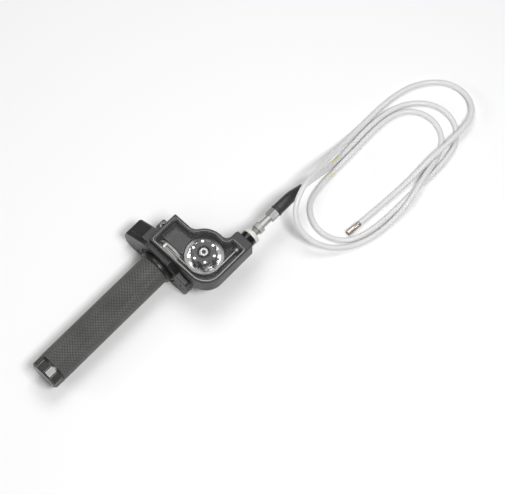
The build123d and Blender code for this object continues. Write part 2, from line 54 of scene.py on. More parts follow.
# ---------------------------------------------------------------- studio
# A pale floor under the part, three soft lamps in a dim white room, and a
# camera with a long lens that looks down steeply across the grip.
table_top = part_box("cable_casing")[0].z - 0.05 * mm
turned_by, raised_by = math.radians(-46.7), math.radians(69.0)
camera_distance, lamp_distance = 1.35, 1.3
lens_length, sensor_width = 106.93, 36.0
grip_mouth = Vector((-43, 0, 0)) * mm
mouth_right, mouth_down = -0.0664, 0.0156

bpy.ops.object.select_all(action="DESELECT")
bpy.ops.mesh.primitive_plane_add(size=8.0, location=(0, 0, table_top))
floor = bpy.context.object
floor.name = "studio_floor"
bpy.ops.object.transform_apply()
floor_paint = bpy.data.materials.new("floor_paint")
floor_paint.use_nodes = True
floor_shader = floor_paint.node_tree.nodes["Principled BSDF"]
floor_shader.inputs["Base Color"].default_value = (0.93, 0.93, 0.93, 1)
floor_shader.inputs["Roughness"].default_value = 0.9
floor_shader.inputs["Specular IOR Level"].default_value = 0.1
floor.data.materials.append(floor_paint)

away = Vector((-math.sin(turned_by), math.cos(turned_by), 0))
sideways = Vector((math.cos(turned_by), math.sin(turned_by), 0))
looking = away * math.cos(raised_by) - Vector((0, 0, 1)) * math.sin(raised_by)
upwards = away * math.sin(raised_by) + Vector((0, 0, 1)) * math.cos(raised_by)
camera_lens = bpy.data.cameras.new("studio_camera")
camera_lens.lens = lens_length
camera_lens.sensor_width = sensor_width
camera = bpy.data.objects.new("studio_camera", camera_lens)
bpy.context.collection.objects.link(camera)
aim = looking + sideways * mouth_right - upwards * mouth_down
camera.location = grip_mouth - camera_distance * aim
camera.rotation_euler = looking.to_track_quat("-Z", "Y").to_euler()
bpy.context.scene.camera = camera
bpy.context.scene.view_settings.view_transform = "Standard"

room = bpy.data.worlds.new("bright_room")
room.use_nodes = True
room.node_tree.nodes["Background"].inputs["Color"].default_value = (1, 1, 1, 1)
room.node_tree.nodes["Background"].inputs["Strength"].default_value = 0.17
bpy.context.scene.world = room
for lamp_name, direction, wide, tall, watts in (
        ("key_lamp", (-0.03, -0.45, 0.89), 0.42, 0.3, 10.5),
        ("rim_lamp", (-0.85, 0.45, 0.55), 0.9, 0.25, 3.0),
        ("top_lamp", (0.28, 0.27, 0.93), 0.7, 0.6, 6.0)):
    lamp_data = bpy.data.lights.new(lamp_name, "AREA")
    lamp_data.shape = "RECTANGLE"
    lamp_data.size, lamp_data.size_y, lamp_data.energy = wide, tall, watts
    lamp = bpy.data.objects.new(lamp_name, lamp_data)
    bpy.context.collection.objects.link(lamp)
    lamp.location = Vector(direction).normalized() * lamp_distance
    lamp.rotation_euler = (-lamp.location).to_track_quat("-Z", "Y").to_euler()


# ---------------------------------------------------------------- throttle cable
# A steel cable in a clear-coated braid of white and silver threads, 5.2 mm
# across. It leaves the adjuster, lies in three loops and ends in a ferrule.
cable_radius = 2.6 * mm
braid_threads = 8          # threads wound each way
fibres_per_thread = 10
braid_relief = 0.09 * mm
ring_spacing = 0.85 * mm
ring_sides = 24
cable_exit = (0.0754, -0.045, 0.014)
lying_z = -0.01735         # the centre line's height where the cable lies flat
cable_route = [
    cable_exit, (0.089, -0.045, 0.014), (0.107, -0.0446, 0.0076), (0.129, -0.0435, -0.007),
    (0.151, -0.043, lying_z), (0.180, -0.0428, lying_z), (0.208, -0.042, lying_z),
    (0.232, -0.045, lying_z), (0.251, -0.0545, lying_z), (0.2635, -0.070, lying_z),
    (0.2665, -0.088, lying_z), (0.2595, -0.1045, lying_z), (0.243, -0.1155, lying_z),
    (0.216, -0.1182, lying_z), (0.187, -0.1166, lying_z), (0.160, -0.1164, lying_z),
    (0.137, -0.1152, lying_z), (0.118, -0.1116, lying_z), (0.1025, -0.104, lying_z),
    (0.094, -0.089, lying_z), (0.094, -0.072, lying_z), (0.103, -0.0572, lying_z),
    (0.118, -0.050, lying_z), (0.145, -0.0488, lying_z), (0.178, -0.0486, lying_z),
    (0.206, -0.0476, lying_z), (0.227, -0.0498, lying_z), (0.242, -0.057, lying_z),
    (0.2505, -0.071, lying_z), (0.2505, -0.0875, lying_z), (0.242, -0.1015, lying_z),
    (0.224, -0.1106, lying_z), (0.201, -0.1144, -0.0112), (0.177, -0.1204, -0.011),
    (0.152, -0.1223, lying_z), (0.126, -0.1202, lying_z), (0.105, -0.113, lying_z),
    (0.0875, -0.101, -0.013), (0.0768, -0.0844, -0.0046), (0.075, -0.0677, 0.0065),
    (0.084, -0.0557, 0.0171), (0.1005, -0.0494, 0.022), (0.121, -0.0452, 0.015),
    (0.146, -0.041, 0.0015), (0.173, -0.0382, -0.011), (0.200, -0.0366, lying_z),
    (0.229, -0.0364, lying_z), (0.258, -0.0405, lying_z), (0.278, -0.051, lying_z),
    (0.2909, -0.066, lying_z), (0.2937, -0.0839, -0.0162), (0.2872, -0.0992, -0.0137),
    (0.2734, -0.1085, -0.0113), (0.250, -0.1094, -0.0108), (0.220, -0.1074, -0.0112),
    (0.188, -0.1066, -0.016), (0.156, -0.1044, -0.017), (0.1245, -0.10125, -0.017)]


def line_through(name, route):
    """The smooth line that a route's points control, as closely spaced places."""
    line = bpy.data.curves.new(name, "CURVE")
    line.dimensions = "3D"
    spline = line.splines.new("NURBS")
    spline.points.add(len(route) - 1)
    for point, place in zip(spline.points, route):
        point.co = (*place, 1)
    spline.order_u = 3
    spline.use_endpoint_u = True
    spline.resolution_u = 12
    held = bpy.data.objects.new(name, line)
    bpy.context.collection.objects.link(held)
    bpy.context.view_layer.update()
    places = [v.co.copy() for v in bpy.data.meshes.new_from_object(held).vertices]
    bpy.data.objects.remove(held)
    return places


def evenly(places, spacing):
    """Places at even distances along a line, its two ends among them."""
    ends = [0.0]
    for before, after in zip(places, places[1:]):
        ends.append(ends[-1] + (after - before).length)
    count = max(2, round(ends[-1] / spacing))
    found, span = [], 0
    for step in range(count + 1):
        reach = ends[-1] * step / count
        while span < len(places) - 2 and ends[span + 1] < reach:
            span += 1
        share = (reach - ends[span]) / (ends[span + 1] - ends[span])
        found.append(places[span].lerp(places[span + 1], min(1.0, share)))
    return found, ends[-1]


def sleeve_on(name, places, sides, radius_at):
    """A closed skin round a line, its radius given at a distance and an angle."""
    verts, reaches, reach = [], [], 0.0
    across = Vector((0, 0, 1))
    for i, here in enumerate(places):
        ahead = (places[min(i + 1, len(places) - 1)] - places[max(i - 1, 0)]).normalized()
        across = (across - ahead * across.dot(ahead)).normalized()
        other = ahead.cross(across)
        reach += (here - places[i - 1]).length if i else 0.0
        reaches.append(reach)
        for j in range(sides):
            angle = 2 * math.pi * j / sides
            out = across * math.cos(angle) + other * math.sin(angle)
            verts.append(here + out * radius_at(reach, angle))
    faces = []
    for i in range(len(places) - 1):
        for j in range(sides):
            k = (j + 1) % sides
            faces.append((i * sides + j, (i + 1) * sides + j, (i + 1) * sides + k, i * sides + k))
    faces.append(tuple(range(sides)))
    faces.append(tuple(range(len(verts) - 1, len(verts) - 1 - sides, -1)))
    mesh = bpy.data.meshes.new(name)
    mesh.from_pydata(verts, [], faces)
    layer = mesh.uv_layers.new(name="length_and_round")
    for face in list(mesh.polygons)[:-2]:
        i, j = divmod(face.index, sides)
        corners = ((i, j), (i + 1, j), (i + 1, j + 1), (i, j + 1))
        for loop, (ring, side) in zip(face.loop_indices, corners):
            layer.data[loop].uv = (reaches[ring] / mm, 2 * math.pi * side / sides)
    piece = bpy.data.objects.new(name, mesh)
    bpy.context.collection.objects.link(piece)
    bpy.ops.object.select_all(action="DESELECT")
    piece.select_set(True)
    bpy.context.view_layer.objects.active = piece
    bpy.ops.object.shade_smooth_by_angle(angle=math.radians(50))
    return piece


def new_finish(name, colour, metallic, roughness, **even):
    """A new material, with its even values on the shader's own sockets."""
    finish = bpy.data.materials.new(name)
    finish.use_nodes = True
    shader = finish.node_tree.nodes["Principled BSDF"]
    shader.inputs["Base Color"].default_value = (*colour, 1)
    shader.inputs["Metallic"].default_value = metallic
    shader.inputs["Roughness"].default_value = roughness
    for key, value in even.items():
        shader.inputs[key.replace("_", " ")].default_value = value
    return finish


def add(finish, kind, inlets, outlet=0, **settings):
    """A node in a material, fed by numbers or by other nodes' outlets."""
    node = finish.node_tree.nodes.new("ShaderNode" + kind)
    for key, value in settings.items():
        setattr(node, key, value)
    for key, value in inlets.items():
        if isinstance(value, bpy.types.NodeSocket):
            finish.node_tree.links.new(value, node.inputs[key])
        else:
            node.inputs[key].default_value = value
    return node.outputs[outlet]


def reckon(finish, operation, *values):
    """A sum, product or other reckoning on numbers and outlets."""
    return add(finish, "Math", dict(enumerate(values)), operation=operation)


def blend_colours(finish, share, first, second):
    """From the first colour to the second."""
    return add(finish, "Mix", {0: share, 6: first, 7: second}, outlet=2, data_type="RGBA")


def between(finish, value, low, high, start=0.0, end=1.0):
    """Carries a value's range from low to high over to start to end."""
    return add(finish, "MapRange", {0: value, 1: low, 2: high, 3: start, 4: end})


def feed(finish, **sources):
    """Links outlets to the shader's sockets."""
    shader = finish.node_tree.nodes["Principled BSDF"]
    for key, outlet in sources.items():
        finish.node_tree.links.new(outlet, shader.inputs[key.replace("_", " ")])


def edges_of(finish, width):
    """How near a point is to a sharp edge, from 0 to 1."""
    flat, sharp = 0.98, 0.7    # how far the rounded and the plain normal agree
    rounded = add(finish, "Bevel", {"Radius": width}, samples=6)
    plain = add(finish, "NewGeometry", {}, outlet="Normal")
    agree = add(finish, "VectorMath", {0: rounded, 1: plain}, outlet="Value",
                operation="DOT_PRODUCT")
    return between(finish, agree, flat, sharp)


def object_place(finish):
    """Where a point is on its object."""
    return add(finish, "TexCoord", {}, outlet="Object")


def grain(finish, size, detail=3.0):
    """Even noise with grains of about that size in metres."""
    return add(finish, "TexNoise", {"Vector": object_place(finish), "Scale": 1 / size,
                                    "Detail": detail, "Roughness": 0.55})


def relief(finish, height, depth, strength=1.0):
    """A bump of that depth in metres."""
    return add(finish, "Bump", {"Strength": strength, "Distance": depth, "Height": height},
               outlet="Normal")


def braid_height(reach, angle):
    """The braid's crossing threads stand a little over the cable's body."""
    along = reach / cable_radius
    first = math.cos(braid_threads * angle / 2 + braid_threads * along / 2)
    second = math.cos(braid_threads * angle / 2 - braid_threads * along / 2)
    return cable_radius - braid_relief * (1 - max(abs(first), abs(second)))


cable_line, cable_length = evenly(line_through("cable_line", cable_route), ring_spacing)
cable = sleeve_on("cable", cable_line, ring_sides, braid_height)

braid = new_finish("white_silver_braid", (0.82, 0.82, 0.81), 0.0, 0.42,
                   Coat_Weight=0.35, Coat_Roughness=0.12)
braid_uv = add(braid, "UVMap", {}, uv_map="length_and_round")
braid_split = add(braid, "SeparateXYZ", {0: braid_uv}, outlet="X")
braid_round = braid_split.node.outputs["Y"]
turns = reckon(braid, "MULTIPLY", braid_round, braid_threads / (2 * math.pi))
climbs = reckon(braid, "MULTIPLY", braid_split, braid_threads / (2 * math.pi * cable_radius / mm))
right_thread = reckon(braid, "ADD", turns, climbs)
left_thread = reckon(braid, "SUBTRACT", turns, climbs)


def thread_swell(across):
    """A thread's rounded height across its width."""
    share = reckon(braid, "FRACT", across)
    return reckon(braid, "SINE", reckon(braid, "MULTIPLY", share, math.pi))


def fibre_lines(across):
    """The fine fibres that lie side by side in a thread."""
    return reckon(braid, "SINE", reckon(braid, "MULTIPLY", across, fibres_per_thread * math.pi))


crossing = reckon(braid, "ADD", reckon(braid, "FLOOR", right_thread),
                  reckon(braid, "FLOOR", left_thread))
right_over = reckon(braid, "MODULO", reckon(braid, "ABSOLUTE", crossing), 2.0)
left_over = reckon(braid, "SUBTRACT", 1.0, right_over)
swell = reckon(braid, "ADD", reckon(braid, "MULTIPLY", thread_swell(right_thread), right_over),
               reckon(braid, "MULTIPLY", thread_swell(left_thread), left_over))
fibres = reckon(braid, "ADD", reckon(braid, "MULTIPLY", fibre_lines(right_thread), right_over),
                reckon(braid, "MULTIPLY", fibre_lines(left_thread), left_over))
# Painted shade: the braid's valleys, between and under the threads, are painted dark grey (0.34),
# and the threads' crowns near white.
thread_with_painted_valley_shade = blend_colours(braid, between(braid, swell, 0.1, 0.85),
                              (0.34, 0.34, 0.35, 1), (0.98, 0.98, 0.97, 1))
fibre_share = between(braid, fibres, -1.0, 1.0, 0.0, 0.35)
silver_thread = blend_colours(braid, fibre_share, thread_with_painted_valley_shade, (0.74, 0.74, 0.76, 1))
tracer_places = (((0.1555, -0.0425, -0.0150), (0.0075, 0.0017, 0.0030)),
                 ((0.1423, -0.0499, -0.0150), (0.0042, 0.0015, 0.0030)))
tracers = []
for tracer_centre, tracer_reach in tracer_places:
    offset = add(braid, "VectorMath", {0: object_place(braid), 1: tracer_centre},
                 operation="SUBTRACT")
    scaled = add(braid, "VectorMath", {0: offset, 1: tracer_reach}, operation="DIVIDE")
    far = add(braid, "VectorMath", {0: scaled}, outlet="Value", operation="LENGTH")
    tracers.append(between(braid, far, 1.0, 0.55))
tracer_share = reckon(braid, "MULTIPLY", reckon(braid, "MAXIMUM", *tracers), 0.75)
traced = blend_colours(braid, tracer_share, silver_thread, (0.80, 0.72, 0.16, 1))
smudge = between(braid, grain(braid, 0.02), 0.35, 0.75, 0.0, 0.16)
braid_bump = reckon(braid, "ADD", swell, reckon(braid, "MULTIPLY", fibres, 0.12))
feed(braid, Base_Color=blend_colours(braid, smudge, traced, (0.60, 0.60, 0.62, 1)),
     Roughness=between(braid, fibres, -1, 1, 0.34, 0.55),
     Normal=relief(braid, braid_bump, 0.12 * mm))
cable.data.materials.append(braid)
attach(cable, "housing")
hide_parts("cable_casing")


# ---------------------------------------------------------------- cable end ferrule
# A crimped sleeve of warm nickel plate on the cable's end. Three rolled
# grooves grip the braid, and its far end has an open mouth.
ferrule_radius, ferrule_length = 3.0 * mm, 15.4 * mm
mouth_radius, mouth_depth = 2.1 * mm, 5.0 * mm
groove_pitch, groove_root = 1.6 * mm, 2.72 * mm
ferrule_start = Vector(cable_route[-1])
ferrule_heading = ferrule_start - Vector(cable_route[-2])


def turned(name, profile, y=0.0, z=0.0, sides=64):
    """A round piece on a line along X, extruded through pairs of X and radius."""
    smooth_below = math.radians(32.0)
    bpy.ops.object.select_all(action="DESELECT")
    start, radius = profile[0]
    bpy.ops.mesh.primitive_circle_add(vertices=sides, radius=radius, location=(start, y, z),
                                      rotation=(0, math.pi / 2, 0))
    bpy.ops.object.transform_apply()
    piece = bpy.context.object
    piece.name = piece.data.name = name
    bpy.ops.object.mode_set(mode="EDIT")
    bpy.ops.mesh.select_all(action="SELECT")
    for (before, was), (after, now) in zip(profile, profile[1:]):
        bpy.ops.mesh.extrude_region_move(TRANSFORM_OT_translate={"value": (after - before, 0, 0)})
        bpy.ops.transform.resize(value=(1, now / was, now / was), center_override=(after, y, z))
    bpy.ops.mesh.select_all(action="SELECT")
    bpy.ops.mesh.remove_doubles(threshold=0.004 * mm)
    bpy.ops.mesh.normals_make_consistent(inside=False)
    bpy.ops.object.mode_set(mode="OBJECT")
    bpy.ops.object.shade_smooth_by_angle(angle=smooth_below)
    return piece


def rings(start, end, pitch, crest, root):
    """The outline of rolled rings or of a screw's thread between two places."""
    count = round((end - start) / pitch)
    step = (end - start) / count
    outline = []
    for k in range(count):
        here = start + k * step
        outline += [(here, root), (here + 0.35 * step, crest), (here + 0.6 * step, crest)]
    return outline + [(end, root)]


ferrule = turned("ferrule", [
    (0, cable_radius), (0, 2.75 * mm), (0.4 * mm, ferrule_radius), (2.0 * mm, ferrule_radius)]
    + rings(2.4 * mm, 7.2 * mm, groove_pitch, ferrule_radius, groove_root)
    + [(7.6 * mm, ferrule_radius), (ferrule_length - 0.3 * mm, ferrule_radius),
       (ferrule_length, 2.8 * mm),
       (ferrule_length, mouth_radius + 0.15 * mm), (ferrule_length - 0.2 * mm, mouth_radius),
       (ferrule_length - mouth_depth, mouth_radius), (ferrule_length - mouth_depth, 0.003 * mm)],
    sides=48)
ferrule_turn = ferrule_heading.to_track_quat("X", "Z").to_matrix().to_4x4()
ferrule.data.transform(Matrix.Translation(ferrule_start) @ ferrule_turn)
warm_nickel = new_finish("warm_nickel", (0.74, 0.66, 0.60), 1.0, 0.28)
nickel_wear = grain(warm_nickel, 0.0016, 5.0)
feed(warm_nickel, Roughness=between(warm_nickel, nickel_wear, 0.3, 0.7, 0.18, 0.42),
     Base_Color=blend_colours(warm_nickel, between(warm_nickel, nickel_wear, 0.35, 0.7),
                              (0.80, 0.73, 0.67, 1), (0.58, 0.50, 0.45, 1)),
     Normal=relief(warm_nickel, nickel_wear, 0.02 * mm, 0.4))
ferrule.data.materials.append(warm_nickel)
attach(ferrule, "housing")
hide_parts("cable_end_ferrule")


# ---------------------------------------------------------------- cable boot
# A black rubber boot, pushed over the adjuster's tail and drawn down to the
# cable. It has a thick lip at its mouth and bends with the cable at its nose.
boot_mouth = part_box("cable_boot")[0].x
boot_body, boot_lip, boot_nose = 5.45 * mm, 5.8 * mm, 3.45 * mm
boot_spacing, boot_sides = 0.4 * mm, 40
boot_cable_rings = 80      # more than enough of the cable's rings for the boot
boot_shape = [
    (0.0, 4.5 * mm), (0.0, 5.4 * mm), (0.35 * mm, boot_lip), (1.9 * mm, boot_lip),
    (2.5 * mm, boot_body), (9.0 * mm, boot_body), (18.0 * mm, 5.35 * mm), (22.0 * mm, 5.05 * mm),
    (27.0 * mm, 4.4 * mm), (32.0 * mm, 3.85 * mm), (36.4 * mm, boot_nose), (37.2 * mm, 3.3 * mm),
    (37.4 * mm, 2.95 * mm)]
boot_line = [Vector((boot_mouth, *cable_exit[1:]))] + cable_line[:boot_cable_rings]
boot_places = evenly(boot_line, boot_spacing)[0]
boot_steps = round(boot_shape[-1][0] / boot_spacing)


def boot_radius(reach, angle):
    """The boot's outline, read between its places."""
    for (low, first), (high, second) in zip(boot_shape[1:], boot_shape[2:]):
        if reach <= high:
            share = (reach - low) / (high - low)
            return first + (second - first) * share
    return boot_shape[-1][1]


boot = sleeve_on("boot", boot_places[:boot_steps + 1], boot_sides, boot_radius)
boot_rubber = new_finish("boot_rubber", (0.022, 0.022, 0.022), 0.0, 0.42,
                         Coat_Weight=0.15, Coat_Roughness=0.35)
rubber_skin = grain(boot_rubber, 0.0009, 4.0)
rubber_dust = grain(boot_rubber, 0.007, 3.0)
feed(boot_rubber,
     Base_Color=blend_colours(boot_rubber, between(boot_rubber, rubber_dust, 0.4, 0.75),
                              (0.020, 0.020, 0.020, 1), (0.045, 0.045, 0.044, 1)),
     Roughness=between(boot_rubber, rubber_dust, 0.3, 0.7, 0.36, 0.52),
     Normal=relief(boot_rubber, rubber_skin, 0.03 * mm, 0.5))
boot.data.materials.append(boot_rubber)
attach(boot, "housing")
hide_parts("cable_boot")


# ---------------------------------------------------------------- cable adjuster
# Zinc-plated steel: a stem screwed into the bush, a barrel with a hexagon, and
# a ribbed lock nut between them. Their threads are rolled.
wire_y, wire_z = cable_exit[1], cable_exit[2]
stem_low, stem_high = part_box("adjuster_stem")[0].x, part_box("adjuster_stem")[1].x
stem_radius, wire_hole = 3.95 * mm, 1.2 * mm
stem_pitch, stem_root = 0.8 * mm, 3.55 * mm
ring_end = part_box("bush_ring")[1].x

stem = turned("adjuster_stem_thread", [
    (stem_low, wire_hole), (stem_low, stem_radius), (ring_end, stem_radius)]
    + rings(ring_end + 0.3 * mm, stem_high - 0.5 * mm, stem_pitch, stem_radius, stem_root)
    + [(stem_high, 3.5 * mm), (stem_high, wire_hole + 1.4 * mm), (stem_low, wire_hole)],
    wire_y, wire_z)
plated_steel = new_finish("zinc_plated_steel", (0.5, 0.5, 0.5), 0.85, 0.4)
plate_cloud = grain(plated_steel, 0.003, 4.0)
plate_fine = grain(plated_steel, 0.0003, 2.0)
feed(plated_steel,
     Base_Color=blend_colours(plated_steel, between(plated_steel, plate_cloud, 0.35, 0.7),
                              (0.52, 0.52, 0.51, 1), (0.38, 0.38, 0.37, 1)),
     Roughness=between(plated_steel, plate_cloud, 0.3, 0.7, 0.46, 0.58),
     Normal=relief(plated_steel, plate_fine, 0.01 * mm, 0.35))
stem.data.materials.append(plated_steel)
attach(stem, "housing")
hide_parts("adjuster_stem")


def repaint(finish, *names):
    """Gives CAD pieces a finish in place of their plain colour."""
    for name in names:
        for place in nodes[name].material_slots:
            place.material = finish


repaint(plated_steel, "adjuster_barrel", "lock_nut", "wire_guide")


# ---------------------------------------------------------------- bush and ring
# A gloss black threaded bush in the housing's arm, with an off-white plastic
# ring against it that keeps the dust out.
bush_low, bush_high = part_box("arm_bush")[0].x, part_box("arm_bush")[1].x
arm_end = 29.4 * mm
bush_bore, bush_radius, bush_end_radius = stem_radius + 0.05 * mm, 8.0 * mm, 7.7 * mm
bush_pitch, bush_root = 1.4 * mm, 7.25 * mm
bush = turned("threaded_bush", [
    (bush_low, bush_bore), (bush_low, bush_radius), (arm_end, bush_radius)]
    + rings(arm_end + 0.3 * mm, bush_high - 0.8 * mm, bush_pitch, bush_radius, bush_root)
    + [(bush_high - 0.5 * mm, bush_end_radius), (bush_high, bush_end_radius),
       (bush_high, bush_bore), (bush_low, bush_bore)], wire_y, wire_z)
gloss_black = new_finish("gloss_black", (0.012, 0.012, 0.013), 0.0, 0.12,
                         Coat_Weight=1.0, Coat_Roughness=0.04)
gloss_wave = grain(gloss_black, 0.004, 2.0)
feed(gloss_black, Roughness=between(gloss_black, gloss_wave, 0.3, 0.7, 0.08, 0.2),
     Normal=relief(gloss_black, gloss_wave, 0.05 * mm, 0.3))
bush.data.materials.append(gloss_black)
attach(bush, "housing")
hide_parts("arm_bush")

ring_radius, ring_groove = 8.35 * mm, 8.1 * mm
dust_ring = turned("dust_ring", [
    (bush_high, bush_bore), (bush_high, 7.9 * mm), (bush_high + 0.35 * mm, 8.25 * mm),
    (bush_high + 0.9 * mm, ring_radius), (bush_high + 1.8 * mm, ring_radius),
    (bush_high + 2.1 * mm, ring_groove), (bush_high + 2.4 * mm, ring_radius),
    (ring_end - 0.9 * mm, ring_radius), (ring_end - 0.3 * mm, ring_groove),
    (ring_end, 7.5 * mm), (ring_end, bush_bore), (bush_high, bush_bore)], wire_y, wire_z)
ring_plastic = new_finish("off_white_plastic", (0.72, 0.72, 0.66), 0.0, 0.35, Coat_Weight=0.3,
                          Subsurface_Weight=0.05)
ring_tint = grain(ring_plastic, 0.004, 3.0)
feed(ring_plastic,
     Base_Color=blend_colours(ring_plastic, between(ring_plastic, ring_tint, 0.35, 0.7),
                              (0.76, 0.76, 0.71, 1), (0.60, 0.60, 0.53, 1)),
     Normal=relief(ring_plastic, ring_tint, 0.03 * mm, 0.3))
dust_ring.data.materials.append(ring_plastic)
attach(dust_ring, "housing")
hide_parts("bush_ring")


# ---------------------------------------------------------------- housing
# Die-cast aluminium with a satin dark grey coat: the window box with the
# drum's chamber, the clamp, the lobe beside it and the adjuster's arm.
cast_coat = new_finish("satin_grey_coat", (0.030, 0.031, 0.030), 0.2, 0.34,
                       Coat_Weight=0.12, Coat_Roughness=0.3, Specular_IOR_Level=0.32)
cast_grain = grain(cast_coat, 0.00035, 3.0)
cast_cloud = grain(cast_coat, 0.012, 4.0)
# Painted highlight: a light grey (0.36) is painted along the housing's sharp edges.
feed(cast_coat,
     Base_Color=blend_colours(cast_coat, edges_of(cast_coat, 0.45 * mm),
                              blend_colours(cast_coat, between(cast_coat, cast_cloud, 0.35, 0.7),
                                            (0.016, 0.017, 0.016, 1), (0.030, 0.031, 0.029, 1)),
                              (0.36, 0.36, 0.35, 1)),
     Roughness=between(cast_coat, cast_cloud, 0.3, 0.7, 0.32, 0.46),
     Normal=relief(cast_coat, cast_grain, 0.03 * mm, 0.45))
repaint(cast_coat, "housing_body", "front_plate")


# ---------------------------------------------------------------- housing's screws
# Black oxide socket screws hold the plate and pinch the clamp's ears. The
# pulley's retaining clip has the same finish.
black_oxide = new_finish("black_oxide_steel", (0.035, 0.035, 0.036), 0.9, 0.32)
oxide_patch = grain(black_oxide, 0.0022, 4.0)
oxide_face = blend_colours(black_oxide, between(black_oxide, oxide_patch, 0.45, 0.8),
                           (0.045, 0.045, 0.047, 1), (0.20, 0.20, 0.195, 1))
# Painted highlight: a near white (0.72) is painted along the screws' sharp edges.
feed(black_oxide,
     Base_Color=blend_colours(black_oxide, edges_of(black_oxide, 0.6 * mm),
                              oxide_face, (0.72, 0.72, 0.71, 1)),
     Roughness=between(black_oxide, oxide_patch, 0.3, 0.7, 0.26, 0.45),
     Normal=relief(black_oxide, oxide_patch, 0.01 * mm, 0.4))
repaint(black_oxide, "plate_screws", "pinch_screw", "pinch_nut", "retaining_clip")


# ---------------------------------------------------------------- window
# A clear moulded cover that lies on the window's ledge. Its flat faces are
# clear, and its rim shows.
window_plastic = new_finish("clear_window", (0.93, 0.94, 0.94), 0.0, 0.06)
window_normal = add(window_plastic, "NewGeometry", {}, outlet="Normal")
window_up = add(window_plastic, "SeparateXYZ", {0: window_normal}, outlet="Z")
window_rim = between(window_plastic, reckon(window_plastic, "ABSOLUTE", window_up), 0.93, 0.8)
window_haze = grain(window_plastic, 0.012, 3.0)
feed(window_plastic, Alpha=between(window_plastic, window_rim, 0.0, 1.0, 0.012, 0.9),
     Roughness=between(window_plastic, window_haze, 0.3, 0.7, 0.03, 0.1))
repaint(window_plastic, "window_lens")


# ---------------------------------------------------------------- pulley
# A turned aluminium wheel with bright milled pockets, a hub and a dark
# anodised top plate, riveted together and running on a ball bearing.
wheel_top = 16.0 * mm
pulley_x, pulley_y, pulley_pitch = -5.1 * mm, -28.2 * mm, 16.8 * mm
well_reach = 6.2 * mm
turned_aluminium = new_finish("turned_aluminium", (0.6, 0.6, 0.6), 1.0, 0.3)
wheel_height = add(turned_aluminium, "SeparateXYZ", {0: object_place(turned_aluminium)}, outlet="Z")
milled = between(turned_aluminium, wheel_height, wheel_top - 0.05 * mm, wheel_top - 0.15 * mm)
cutter_marks = grain(turned_aluminium, 0.0011, 2.0)
wheel_face = blend_colours(turned_aluminium, milled,
                           (0.13, 0.13, 0.13, 1), (0.36, 0.36, 0.355, 1))
# Painted shade: a dark grey (0.10) is painted along the wheel's sharp edges round the pockets.
feed(turned_aluminium,
     Base_Color=blend_colours(turned_aluminium, edges_of(turned_aluminium, 0.5 * mm),
                              wheel_face, (0.10, 0.10, 0.10, 1)),
     Roughness=between(turned_aluminium, milled, 0.0, 1.0, 0.32, 0.24),
     Normal=relief(turned_aluminium, cutter_marks, 0.05 * mm, 0.4))
repaint(turned_aluminium, "pulley_wheel", "pulley_hub")

dark_anodised = new_finish("dark_anodised", (0.05, 0.05, 0.052), 0.4, 0.42)
from_axle = add(dark_anodised, "VectorMath",
                {0: object_place(dark_anodised), 1: (pulley_x, pulley_y, 0)}, operation="SUBTRACT")
flat_from_axle = add(dark_anodised, "VectorMath", {0: from_axle, 1: (1, 1, 0)},
                     operation="MULTIPLY")
axle_distance = add(dark_anodised, "VectorMath", {0: flat_from_axle}, outlet="Value",
                    operation="LENGTH")
# Painted shade: the plate is painted near black (0.004) in a ring round the axle screw's well.
well_painted_shade = between(dark_anodised, axle_distance, well_reach + 0.2 * mm, well_reach)
anodised_fine = grain(dark_anodised, 0.0005, 3.0)
anodised_face = blend_colours(dark_anodised, between(dark_anodised, anodised_fine, 0.3, 0.7),
                              (0.040, 0.040, 0.042, 1), (0.062, 0.062, 0.063, 1))
# Painted highlight: a light grey (0.62) is painted along the plate's sharp edges.
anodised_edge_highlight = blend_colours(dark_anodised, edges_of(dark_anodised, 0.35 * mm),
                              anodised_face, (0.62, 0.62, 0.61, 1))
feed(dark_anodised,
     Base_Color=blend_colours(dark_anodised, well_painted_shade, anodised_edge_highlight, (0.004, 0.004, 0.004, 1)),
     Roughness=between(dark_anodised, anodised_fine, 0.3, 0.7, 0.36, 0.5),
     Normal=relief(dark_anodised, anodised_fine, 0.01 * mm, 0.4))
repaint(dark_anodised, "pulley_top_plate")

bright_steel = new_finish("polished_steel", (0.46, 0.46, 0.455), 1.0, 0.18)
steel_marks = grain(bright_steel, 0.0014, 4.0)
feed(bright_steel, Roughness=between(bright_steel, steel_marks, 0.3, 0.7, 0.12, 0.3),
     Normal=relief(bright_steel, steel_marks, 0.01 * mm, 0.4))
axle_steel = new_finish("axle_screw_steel", (0.7, 0.7, 0.69), 1.0, 0.3)
axle_height = add(axle_steel, "SeparateXYZ", {0: object_place(axle_steel)}, outlet="Z")
axle_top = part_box("axle_screw")[1].z
# Painted shade: the inside of the hex socket is painted near black (0.03).
socket_painted_shade = between(axle_steel, axle_height, axle_top - 0.2 * mm, axle_top - 0.4 * mm)
axle_marks = grain(axle_steel, 0.0012, 4.0)
# Painted highlight: the head's sharp edges are painted light grey (0.60) over a darker face (0.24).
axle_face = blend_colours(axle_steel, edges_of(axle_steel, 0.5 * mm),
                          (0.24, 0.24, 0.235, 1), (0.60, 0.60, 0.59, 1))
feed(axle_steel, Base_Color=blend_colours(axle_steel, socket_painted_shade, axle_face, (0.03, 0.03, 0.03, 1)),
     Roughness=between(axle_steel, axle_marks, 0.3, 0.7, 0.24, 0.42),
     Normal=relief(axle_steel, axle_marks, 0.01 * mm, 0.4))
repaint(axle_steel, "axle_screw")
repaint(bright_steel, "pulley_rivets", "bearing_inner_ring", "bearing_outer_ring",
        "bearing_balls", "lower_spacer", "upper_spacer")


# ---------------------------------------------------------------- inner wire
# A twisted steel wire, 1.5 mm across. It comes through the guide, goes a
# quarter round the pulley and on to the top of the drum.
wire_radius, wire_strands, strand_twist = 0.75 * mm, 6, 9.0 * mm
wire_sides, wire_spacing = 24, 0.5 * mm
drum_x = pulley_x - pulley_pitch
guide_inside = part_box("wire_guide")[0].x + 2 * mm


